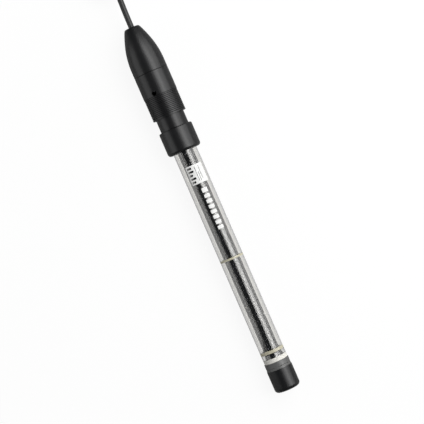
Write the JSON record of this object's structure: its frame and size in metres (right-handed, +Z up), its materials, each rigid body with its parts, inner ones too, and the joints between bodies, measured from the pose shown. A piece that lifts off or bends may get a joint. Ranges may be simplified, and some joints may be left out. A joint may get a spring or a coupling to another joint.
{
  "type": "combination chloride electrode",
  "caption": "Slim laboratory chloride electrode with a clear sliding sleeve, black sensing tip, ribbed cap, cable boot and a coaxial plug on a tied lead.",
  "frame": {"origin": "on the surface that it lies on, under the middle of the electrode's body, cable and plug not counted", "axes": "+X along the body from the sensing tip toward the cable, +Z up from the surface, +Y to the left seen from the tip"},
  "size_m": [0.3214, 0.0248, 0.0178],
  "materials": {
    "black_tip": "smooth satin black moulding",
    "pressed_pellet": "pressed and polished silver salt pellet, dark grey",
    "gilt_contact": "turned brass",
    "grey_band": "smoky translucent grey",
    "black_stem": "polished black",
    "white_ceramic": "fine porous white",
    "cream_resin": "cast cream resin, a little translucent",
    "clear_tube": "clear with a faint warm tint",
    "black_cap": "satin black moulding",
    "black_ribs": "fine turned ribs, satin black",
    "seal_rubber": "black nitrile rubber",
    "spring_steel": "drawn stainless wire",
    "lead_silver": "dull silver wire",
    "lead_white": "white insulated inner lead",
    "clamp_steel": "pressed nickel plated sleeve",
    "cable_jacket": "satin black flexible jacket",
    "tie_black": "soft black strap",
    "plug_rubber": "black moulded rubber",
    "plug_nickel": "bright nickel plate",
    "plug_white": "white insulator",
    "pin_gold": "gold plate",
    "gasket_red": "soft red silicone"
  },
  "bodies": {
    "cap_stem_and_lead": {"sensing_tip": "black_tip", "sensing_pellet": "pressed_pellet", "pellet_contact": "gilt_contact", "seal_band": "grey_band", "lower_stem": "black_stem", "upper_stem": "black_stem", "inner_junction": "white_ceramic", "cap_barrel": "black_cap", "cable_boot": "black_cap", "ribbed_skirt": "black_ribs", "return_spring": "spring_steel", "reference_wire": "lead_silver", "signal_lead": "lead_white", "cable_clamp": "clamp_steel", "cable": "cable_jacket", "cable_hank": "cable_jacket", "plug_lead": "cable_jacket", "cable_tie": "tie_black", "plug_boot": "plug_rubber", "crimp_ferrule": "plug_nickel", "plug_body": "plug_nickel", "coupling_washer": "plug_nickel", "plug_insulator": "plug_white", "centre_pin": "pin_gold", "plug_gasket": "gasket_red"},
    "sliding_sleeve": {"junction_ring": "white_ceramic", "clear_ferrule": "clear_tube", "lower_ring": "cream_resin", "lower_tube": "clear_tube", "tube_joint_ring": "cream_resin", "upper_tube": "clear_tube", "sleeve_collar": "black_cap", "collar_o_ring": "seal_rubber"},
    "coupling_nut": {"coupling_ring": "plug_nickel"}
  },
  "joints": [
    {"name": "sleeve_flush", "type": "slide", "parent": "cap_stem_and_lead", "child": "sliding_sleeve", "axis": [0.9999, 0, 0.0161], "range_m": [0, 0.004], "stiffness_N_per_m": 800, "springref_m": -0.004, "deforming": ["return_spring"]},
    {"name": "coupling_turn", "type": "hinge", "parent": "cap_stem_and_lead", "child": "coupling_nut", "pos_m": [0.2176, -0.005, 0.00725], "axis": [1, 0, 0], "continuous": true}
  ]
}
